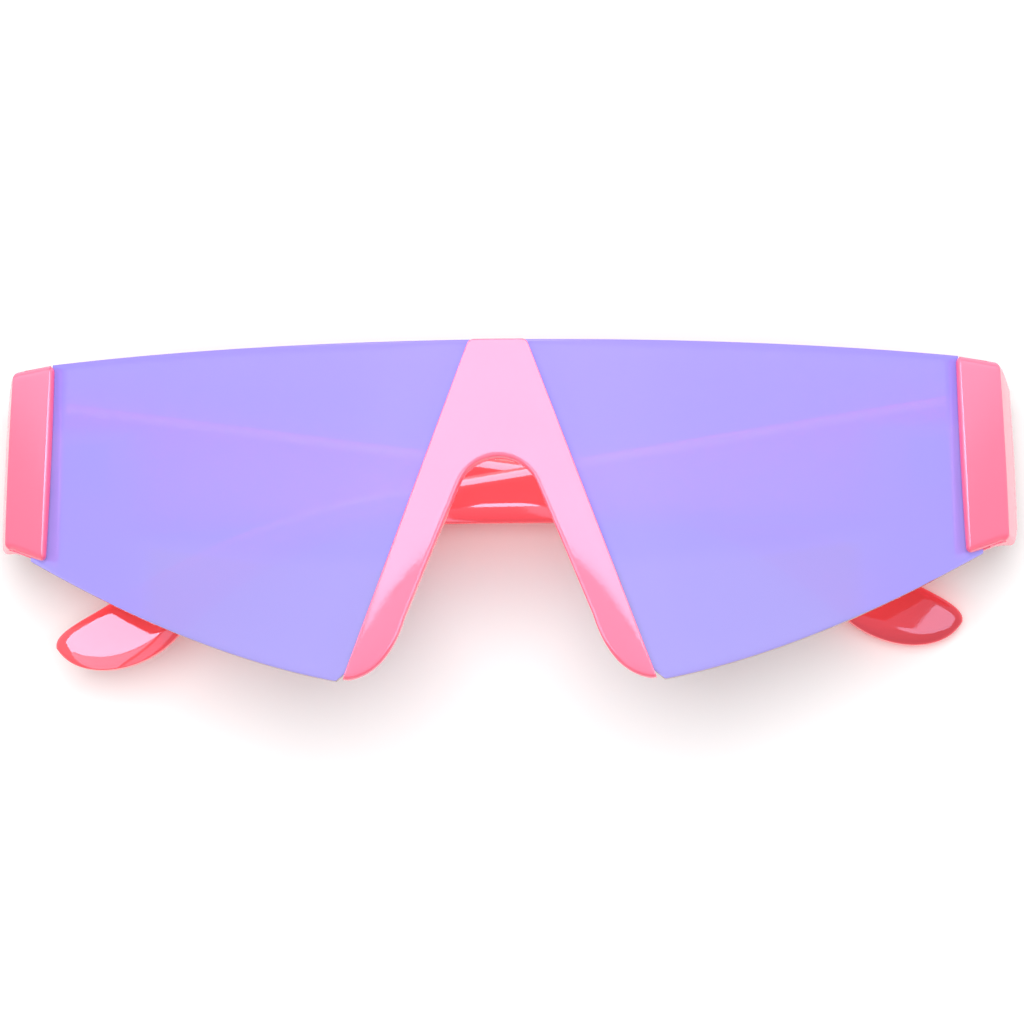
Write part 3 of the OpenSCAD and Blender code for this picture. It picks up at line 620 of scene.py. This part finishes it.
def claspPiece(side):
    c = clasp
    points, soft, radii = claspProfile()
    # a ring climbs soft(1 - cos a) from each end while it draws in by
    # soft(1 - sin a) + crown(2s - 1)^2
    turn = np.radians(np.linspace(0, 90, c["edgeSteps"]))
    shares = sideShares(c["margin"], c["sideSteps"])
    along = np.concatenate([0 * turn, shares, 0 * turn + 1])
    pull = np.concatenate([1 - np.sin(turn), 0 * shares, (1 - np.sin(turn))[::-1]])
    pull = pull + c["crown"] / c["soft"] * (2 * along - 1) ** 2
    flat = insetProfile(points, soft, radii, pull, c["cornerSteps"])
    x, depth = flat[..., 0], flat[..., 1]
    climb = np.concatenate([1 - np.cos(turn), 0 * shares + 1, (1 - np.cos(turn))[::-1]])
    climb = climb[:, None] * c["soft"]
    top, foot = claspHeights(x, depth)
    s = along[:, None]
    y = np.where(s < 0.5, foot + climb, top - climb)
    y = np.where(s * (1 - s) > 0, lerp(foot + c["soft"], top - c["soft"], s), y)
    rings = claspPlace(x, depth, y)
    rows, cols = rings.shape[:2]
    footCap, footFaces = claspCap(flat[0], 1)
    topCap, topFaces = claspCap(flat[-1], 0)
    verts = np.concatenate([rings.reshape(-1, 3), footCap, topCap])
    if side == "left":
        verts = verts * np.array([-1, 1, 1])
    faces = gridFaces(rows, cols).tolist() + (footFaces + rows * cols).tolist()
    faces += (topFaces + rows * cols + len(footCap)).tolist()
    mesh = bpy.data.meshes.new("lens_clasp_" + side)
    mesh.from_pydata(toTable(verts).tolist(), [], faces)
    piece = addPiece("lens_clasp_" + side, mesh)
    cutWith(piece, [lensScrewCutter(height, side) for height in c["screwHeights"]])
    smooth(piece, c["sharp"])
    return piece


def roundCutter(place, aim, radius, depth):
    # a short cylinder from a place along a direction, in the front's frame
    aim = np.asarray(aim, float) / np.linalg.norm(aim)
    side = np.cross(aim, [0.0, 1.0, 0.0])
    up = np.cross(side, aim)
    turn = np.linspace(0, 2 * np.pi, clasp["headSteps"], endpoint=False)
    ring = np.cos(turn)[:, None] * side + np.sin(turn)[:, None] * up
    near = np.asarray(place) + radius * ring
    rings = np.stack([near, near + aim * depth])
    return tubeMesh("cutter", rings)


def lensScrewCutter(height, side):
    # the pocket of a screw head in the lip, square to the lens
    c = clasp
    angle = math.asin(c["screwX"] / wrap)
    aim = np.array([math.sin(angle), 0, math.cos(angle)])
    seat = wrap - shield["thick"] - c["gap"] - c["lip"] + c["headDepth"]
    place = np.array([0, height, -wrap]) + aim * seat
    flip = np.array([-1, 1, 1]) if side == "left" else np.ones(3)
    return roundCutter(place * flip, -aim * flip, c["headRadius"], c["pocket"])


for side in ("left", "right"):
    piece = claspPiece(side)
    piece.data.materials.append(claspPlastic)
    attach(piece, "front")
    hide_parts("end_piece_" + side)
    piece.visible_diffuse = False
print("end pieces done")

bough = {"length": 139.6, "rootHeight": 21.8, "hook": 18.2, "rootThick": 4.8, "tipThick": 3.4,
         "bow": 3.0, "bowShare": 0.65, "thinShare": 0.625, "edgeTop": 2.3, "edgeFoot": 3.3,
         "edgeTip": 3.0, "edgeTipTop": 1.4, "edgeOut": 1.35, "edgeTipOut": 0.8,
         "edgeShare": 0.94, "tipFrom": 0.75, "tipOver": 0.2, "leafSeat": 1.9,
         "pin": (70.5, 10.6, -32.6), "overTilt": 2.6, "underTilt": 1.5, "lean": 0.8,
         "pocketLength": 9.25, "pocketHalf": 3.95, "jointGap": 0.15, "far": 60,
         "steps": (60, 70, 90), "stepPower": 1.7, "stepLast": 0.9995, "roundPower": 6,
         "cornerSteps": 12, "sideShares": (0.03, 0.25, 0.5, 0.75, 0.97), "overrun": 1,
         "sharp": 35}
# points of the two edges: share of the length, of the root height and of the hook
upperEdge = np.array([[0, 1, 0], [0.315, 0.69, 0], [0.63, 0.382, 0], [0.795, 0.22, 0],
                      [0.945, 0, 0.478], [0.971, 0, 0.599], [1.002, 0, 0.698], [1, 0, 0.819]])
lowerEdge = np.array([[0, 0, 0], [0.272, 0.133, 0], [0.602, 0.133, 0], [0.739, 0.133, 0],
                      [0.868, 0, 0.747], [0.906, 0, 1.06], [0.978, 0, 1.115], [1, 0, 0.819]])


def edgeCurve(table, u):
    # two quadratic stretches, then a cubic one round the hook
    p = np.stack([bough["length"] * table[:, 0],
                  bough["rootHeight"] * (table[:, 1] - 0.5) - bough["hook"] * table[:, 2]], -1)
    u = u[:, None]
    middle = curve3(p[2], p[3], p[4], u - 1)
    hook = curve4(p[4], p[5], p[6], p[7], u - 2)
    return np.where(u < 1, curve3(p[0], p[1], p[2], u), np.where(u < 2, middle, hook))


def armRings():
    b = bough
    root, waist, tip = [np.linspace(0, 1, count) for count in b["steps"]]
    u = np.concatenate([root[:-1], 1 + waist[:-1],
                        2 + (1 - (1 - tip) ** b["stepPower"]) * b["stepLast"]])
    top, foot = edgeCurve(upperEdge, u), edgeCurve(lowerEdge, u)
    middle, half = (top + foot) / 2, (top - foot) / 2
    share = middle[:, 0] / b["length"]
    thin = np.sqrt(np.clip(1 - np.clip(u - 2, 0, 1) ** b["roundPower"], 0, 1))
    full = lerp(b["rootThick"], b["tipThick"], np.minimum(1, share / b["thinShare"]))
    bow = b["bow"] * np.sin(np.pi / 2 * np.minimum(1, share / b["bowShare"]))
    outer = b["leafSeat"] + b["rootThick"] - bow
    # section: a flat bar, half high and full * thin thick, with four rounded corners
    tall = np.linalg.norm(half, axis=1)
    upwards = half / tall[:, None]
    thick = full * thin / 2
    late = np.clip((share - b["tipFrom"]) / b["tipOver"], 0, 1)
    edgeTop = np.minimum(lerp(b["edgeTop"], b["edgeTipTop"], late), b["edgeShare"] * tall)[:, None]
    edgeFoot = np.minimum(lerp(b["edgeFoot"], b["edgeTip"], late), b["edgeShare"] * tall)[:, None]
    edgeOut = np.minimum(lerp(b["edgeOut"], b["edgeTipOut"], late), b["edgeShare"] * thick)[:, None]
    # each corner is a quarter ellipse, each side a line to the next: up = a(tall - edge) + b edge
    arc = np.radians(np.linspace(0, 90, b["cornerSteps"]))
    side = 2 * np.array(b["sideShares"])
    one, c, d = np.ones(len(arc)), np.cos(arc), np.sin(arc)
    line, none = np.ones(len(side)), np.zeros(len(side))
    upFlat = np.concatenate([one, 1 - side, -one, -line, -one, side - 1, one, line])[None]
    upArc = np.concatenate([c, none, -d, -line, -c, none, d, line])[None]
    outFlat = np.concatenate([one, line, one, 1 - side, -one, -line, -one, side - 1])[None]
    outArc = np.concatenate([d, line, c, none, -d, -line, -c, none])[None]
    edgeUp = np.where(upFlat >= 0, edgeTop, edgeFoot)
    up = upFlat * (tall[:, None] - edgeUp) + upArc * edgeUp
    out = outFlat * (thick[:, None] - edgeOut) + outArc * edgeOut
    flat = middle[:, None] + upwards[:, None] * up[..., None]
    across = (outer - full / 2)[:, None] + out
    return np.stack([across, flat[..., 1], flat[..., 0]], -1)


def folded(points, side):
    # arm frame (outwards, up, along) to the front's frame: lean, tilt, then out to the pin
    b = bough
    sign = 1 if side == "right" else -1
    tilt = math.radians(b["underTilt"] if side == "right" else -b["overTilt"])
    lean = math.radians(-b["lean"] if side == "right" else b["lean"])
    p = np.asarray(points, float)
    # mirror the length, turn a quarter about the height
    q = np.stack([-p[..., 2], p[..., 1], -p[..., 0]], -1)
    q = np.stack([q[..., 0] * math.cos(-lean) - q[..., 1] * math.sin(-lean),
                  q[..., 0] * math.sin(-lean) + q[..., 1] * math.cos(-lean), q[..., 2]], -1)
    q = np.stack([q[..., 0] * math.cos(tilt) + q[..., 2] * math.sin(tilt), q[..., 1],
                  -q[..., 0] * math.sin(tilt) + q[..., 2] * math.cos(tilt)], -1)
    q = q + np.array(b["pin"])
    return q * np.array([sign, 1, 1])


def blockCutter(low, high, side):
    # a block between two corners of the arm's frame, laid like the arm
    x, y, z = [np.array(v) for v in zip(low, high)]
    corners = np.array([[x[i], y[j], z[k]] for i in (0, 1) for j in (0, 1) for k in (0, 1)])
    verts = toTable(folded(corners, side))
    faces = [(0, 1, 3, 2), (4, 6, 7, 5), (0, 4, 5, 1), (2, 3, 7, 6), (0, 2, 6, 4), (1, 5, 7, 3)]
    mesh = bpy.data.meshes.new("cutter")
    mesh.from_pydata(verts.tolist(), [], faces)
    return addPiece("cutter", mesh)


def armPiece(side):
    b = bough
    piece = tubeMesh("hooked_arm_" + side, folded(armRings(), side))
    far, pocket = b["far"], (b["leafSeat"], b["pocketHalf"], b["pocketLength"])
    cutWith(piece, [blockCutter((-far, -far, -far), (far, far, b["jointGap"]), side),
                    blockCutter((-far, -b["pocketHalf"], -b["overrun"]), pocket, side)])
    smooth(piece, b["sharp"])
    return piece


for side in ("left", "right"):
    piece = armPiece(side)
    piece.data.materials.append(armPlastic)
    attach(piece, side + "_arm")
    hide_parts("arm_" + side)
print("arms done")

pads = {"depth": 7.2, "splay": 3.2, "wall": 1.5, "flange": 1.4, "start": 0.45, "full": 0.45,
        "end": 0.82, "faceShare": 0.35, "backShare": 0.25, "edge": 0.5, "fillet": 0.4,
        "inner": 0.1, "outer": 5.1, "lip": 2.1, "lipOuter": 1.1, "seat": 0.1,
        "archSteps": 40, "flankSteps": 60, "cut": 0.15, "cuts": 2, "sharp": 45}


def noseRestPiece():
    s = pads
    spread = math.degrees(arch["spread"])
    angles = np.radians(np.linspace(90, spread, s["archSteps"]))
    t = np.linspace(0, s["end"], s["flankSteps"])[1:]
    point = np.concatenate([archPoint(np.degrees(angles), 0), flankPoint(t, 0)])
    out = np.concatenate([np.stack([np.cos(angles), np.sin(angles)], -1),
                          np.broadcast_to(flankOut, (len(t), 2))])
    grown = np.concatenate([np.full(s["archSteps"], s["start"]),
                            lerp(s["start"], 1, np.minimum(1, t / s["full"]))])
    flip = np.array([-1, 1])
    point = np.concatenate([(point * flip)[:0:-1], point])
    out = np.concatenate([(out * flip)[:0:-1], out])
    grown = np.concatenate([grown[:0:-1], grown])
    depth, splay, one = s["depth"] * grown, s["splay"] * grown, np.ones(len(grown))
    inner, wall, flange, edge = s["inner"], s["wall"], s["flange"], s["edge"]
    # the section, round from the outer front corner: how far out, and how far behind the lens
    reach = np.stack([s["outer"] * one, s["outer"] * one, (inner + wall + s["fillet"]) * one,
                      (inner + wall) * one, inner + wall + splay * s["backShare"],
                      inner + splay + wall, inner + splay + wall - edge, inner + splay + edge,
                      inner + splay, inner + splay * s["faceShare"], inner * one, inner * one,
                      s["lipOuter"] * one, s["lipOuter"] * one], -1)
    deep = np.stack([0 * one, flange * one, flange * one, (flange + s["fillet"]) * one,
                     depth / 2, depth - edge, depth, depth, depth - edge, depth / 2,
                     0 * one, -s["lip"] * one, -s["lip"] * one, 0 * one], -1)
    flat = point[:, None] + out[:, None] * reach[..., None]
    z = -sag(flat[..., 0], wrap - shield["thick"]) - s["seat"] - deep
    rings = np.concatenate([flat, z[..., None]], -1)
    # corners cut twice: each side is left with its points at cut and at 1 - cut
    for _ in range(s["cuts"]):
        ahead = np.roll(rings, -1, axis=1)
        near, far = lerp(rings, ahead, s["cut"]), lerp(rings, ahead, 1 - s["cut"])
        rings = np.stack([near, far], 2).reshape(len(rings), -1, 3)
    piece = tubeMesh("nose_rest_pads", rings)
    smooth(piece, s["sharp"])
    return piece


rest = noseRestPiece()
rest.data.materials.append(frontPlastic)
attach(rest, "front")
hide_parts("nose_rest")
print("nose rest done")

for name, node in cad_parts.items():
    if "screw" in name or "hinge" in name:
        finish = screwSteel if "screw" in name else hingeSteel
        node.data.materials.clear()
        node.data.materials.append(finish)
print("metal done")

# half is half the table's width, middle the height that the boxes aim at, in metres
studio = {"table": (250, 249, 248), "tableDeep": (246, 246, 246), "grain": 25.0, "half": 4,
          "roughness": 0.7, "grainRough": 0.1, "shine": 0.2, "dome": 0.42,
          "middle": 0.03, "away": 1.1,
          "overhead": {"power": 11.7, "size": 0.86, "at": (0.0, 0.24, 1.1)},
          "from_left": {"power": 1.15, "size": 0.5, "at": (-0.8, -0.15, 0.75)},
          "from_right": {"power": 1.15, "size": 0.5, "at": (0.8, -0.15, 0.75)}}
# soft boxes: brightness, aim (degrees round from the far edge, degrees up), degrees across
# and up, who is lit, and whether it only shines; away and shift are in metres
boxes = {
    "soft_box": {"level": 8.7, "aim": (0, 72.1), "spread": (40, 16.2), "lit": "front"},
    "back_strip": {"level": 5.0, "aim": (0, 32), "spread": (33, 44), "lit": "front"},
    "arm_box": {"level": 12.0, "aim": (0, 75), "spread": (40, 22), "lit": "right_arm"},
    "arm_strip": {"level": 9.0, "aim": (0, 26), "spread": (40, 60), "lit": "arms"},
    "fill": {"level": 1.6, "aim": (180, 61), "spread": (70, 76), "lit": "front",
             "shineOnly": True},
    "tip_fill": {"level": 3.6, "aim": (180, 50), "spread": (27, 84), "lit": "right_arm",
                 "away": 0.46, "shift": -0.124, "shineOnly": True},
    "tip_side": {"level": 2.0, "aim": (180, 50), "spread": (20, 84), "lit": "right_arm",
                 "away": 0.46, "shift": 0.097, "shineOnly": True},
    "lens_far": {"level": 2.4, "aim": (4, 38), "spread": (9, 44), "lit": "lens",
                 "shineOnly": True},
    "lens_far_side": {"level": 1.2, "aim": (-24, 36), "spread": (16, 40), "lit": "lens",
                      "shineOnly": True},
    "lens_near": {"level": 2.4, "aim": (176, 38), "spread": (9, 44), "lit": "lens",
                  "shineOnly": True},
    "lens_near_side": {"level": 1.2, "aim": (206, 36), "spread": (16, 40), "lit": "lens",
                       "shineOnly": True},
    "lens_left": {"level": 1.6, "aim": (-90, 7), "spread": (40, 10), "lit": "lens",
                  "shineOnly": True},
    "lens_right": {"level": 1.6, "aim": (90, 7), "spread": (40, 10), "lit": "lens",
                   "shineOnly": True},
    "ridge": {"level": 3.0, "aim": (0, 85), "spread": (90, 50), "lit": "clasps",
              "shineOnly": True},
    "side_left": {"level": 5.0, "aim": (-90, 36), "spread": (60, 60), "lit": "bridge",
                  "shineOnly": True},
    "side_right": {"level": 5.0, "aim": (90, 36), "spread": (60, 60), "lit": "bridge",
                   "shineOnly": True},
    "end_left": {"level": 2.8, "aim": (-62.5, 18), "spread": (29, 34), "lit": "clasps",
                 "shineOnly": True},
    "end_right": {"level": 2.6, "aim": (62, 22), "spread": (27.5, 34), "lit": "clasps",
                  "shineOnly": True}}
glint = {"at": (0.362, 0.078, 1.055), "target": (0.06, -0.018, 0.004), "size": 0.388,
         "level": 4.5}


def tableTop():
    s = studio
    h = s["half"]
    mesh = bpy.data.meshes.new("table")
    mesh.from_pydata([(-h, -h, 0), (h, -h, 0), (h, h, 0), (-h, h, 0)], [], [(0, 1, 2, 3)])
    floor = bpy.data.objects.new("table", mesh)
    bpy.context.scene.collection.objects.link(floor)
    bench = Bench(bpy.data.materials.new("white_table"))
    grain = bench.noise(s["grain"])
    floor.data.materials.append(bench.finish({
        "Base Color": bench.mix(grain, srgb(*s["tableDeep"]), srgb(*s["table"])),
        "Roughness": s["roughness"] + s["grainRough"] * grain,
        "Specular IOR Level": s["shine"]}))


def domeLight():
    # full white to whatever looks at it, and dimmer as a light
    world = bpy.data.worlds.new("dome")
    bpy.context.scene.world = world
    bench = Bench(world)
    looks = ("Is Camera Ray", "Is Glossy Ray", "Is Transmission Ray")
    camera, glossy, through = bench.add("ShaderNodeLightPath", out=looks)
    level = bench.add("ShaderNodeMapRange", None, {"Value": camera + glossy + through,
                                                   "To Min": studio["dome"], "To Max": 1.0})
    back = bench.add("ShaderNodeBackground", None, {"Color": (1, 1, 1, 1), "Strength": level})
    bench.add("ShaderNodeOutputWorld", None, {"Surface": back})


def softLamp(name, place, target, size, power):
    lamp = bpy.data.lights.new(name, "AREA")
    lamp.shape = "DISK"
    lamp.size = size
    lamp.energy = power
    body = bpy.data.objects.new(name, lamp)
    body.location = place
    body.rotation_euler = (Vector(target) - Vector(place)).to_track_quat("-Z", "Y").to_euler()
    bpy.context.scene.collection.objects.link(body)
    return body


def softPanel(name, box, group):
    # a rectangle aimed at the glasses; its power is pi * level * area
    turn, rise = [math.radians(a) for a in box["aim"]]
    away, shift = box.get("away", studio["away"]), box.get("shift", 0.0)
    place = (away * math.cos(rise) * math.sin(turn) + shift,
             away * math.cos(rise) * math.cos(turn), away * math.sin(rise) + studio["middle"])
    wide, tall = [2 * away * math.tan(math.radians(a) / 2) for a in box["spread"]]
    power = box["level"] * math.pi * wide * tall
    panel = softLamp(name, place, (shift, 0, studio["middle"]), wide, power)
    panel.data.shape = "RECTANGLE"
    panel.data.size_y = tall
    panel.visible_diffuse = not box.get("shineOnly", False)
    panel.light_linking.receiver_collection = group


def receivers(name, chosen):
    group = bpy.data.collections.new(name)
    for piece in [o for o in bpy.data.objects if o.type == "MESH" and chosen(o.name)]:
        group.objects.link(piece)
    return group


def lampLight(groups):
    for name in ("overhead", "from_left", "from_right"):
        lamp = studio[name]
        key = softLamp(name, lamp["at"], (0, 0, 0), lamp["size"], lamp["power"])
        key.visible_glossy = False
        key.light_linking.receiver_collection = groups["evenly_lit"]
    # a disk's power is pi * level * area
    power = glint["level"] * math.pi ** 2 * glint["size"] ** 2 / 4
    spark = softLamp("glint", glint["at"], glint["target"], glint["size"], power)
    spark.visible_diffuse = False
    spark.light_linking.receiver_collection = groups["left_arm"]


tableTop()
domeLight()
# the polished pieces mirror soft boxes of their own; the table and the coat have one even light
plain = {"table", lens.name}
groups = {"evenly_lit": receivers("evenly_lit", lambda n: n in plain),
          "front": receivers("front", lambda n: n not in plain and "arm" not in n),
          "lens": receivers("lens", lambda n: n == lens.name),
          "bridge": receivers("bridge", lambda n: n in (bridge.name, rest.name)),
          "clasps": receivers("clasps", lambda n: "clasp" in n),
          "arms": receivers("arms", lambda n: "arm" in n),
          "right_arm": receivers("right_arm", lambda n: "arm" in n and "right" in n),
          "left_arm": receivers("left_arm", lambda n: "arm" in n and "left" in n)}
for name, box in boxes.items():
    softPanel(name, box, groups[box["lit"]])
lampLight(groups)
print("table and light done")

# the camera as fitted to the photograph, nearly square over the lens; sides in pixels
shot = {"yaw": 2.311, "pitch": 6.75, "roll": -0.253, "distance": 700.0, "side": 1.927,
        "up": -0.574, "pixels": 4811.1, "picture": 1024, "film": 36, "nearest": 0.01}


def placeCamera():
    s = shot
    yaw, tip, roll = [Matrix.Rotation(math.radians(s[k]), 3, axis)
                      for k, axis in (("yaw", "Y"), ("pitch", "X"), ("roll", "Z"))]
    turn = yaw @ tip @ roll
    down = Matrix(turnDown.tolist())
    eye = turn @ Vector((s["side"], s["up"], s["distance"]))
    place = Vector(toTable(np.array(eye)).tolist())
    camera = bpy.data.cameras.new("camera")
    camera.sensor_fit = "HORIZONTAL"
    camera.sensor_width = s["film"]
    camera.lens = s["pixels"] / s["picture"] * s["film"]
    camera.clip_start = s["nearest"]
    body = bpy.data.objects.new("camera", camera)
    body.matrix_world = Matrix.Translation(place) @ (down @ turn).to_4x4()
    bpy.context.scene.collection.objects.link(body)
    bpy.context.scene.camera = body


placeCamera()
view = bpy.context.scene.view_settings
view.view_transform = "Standard"
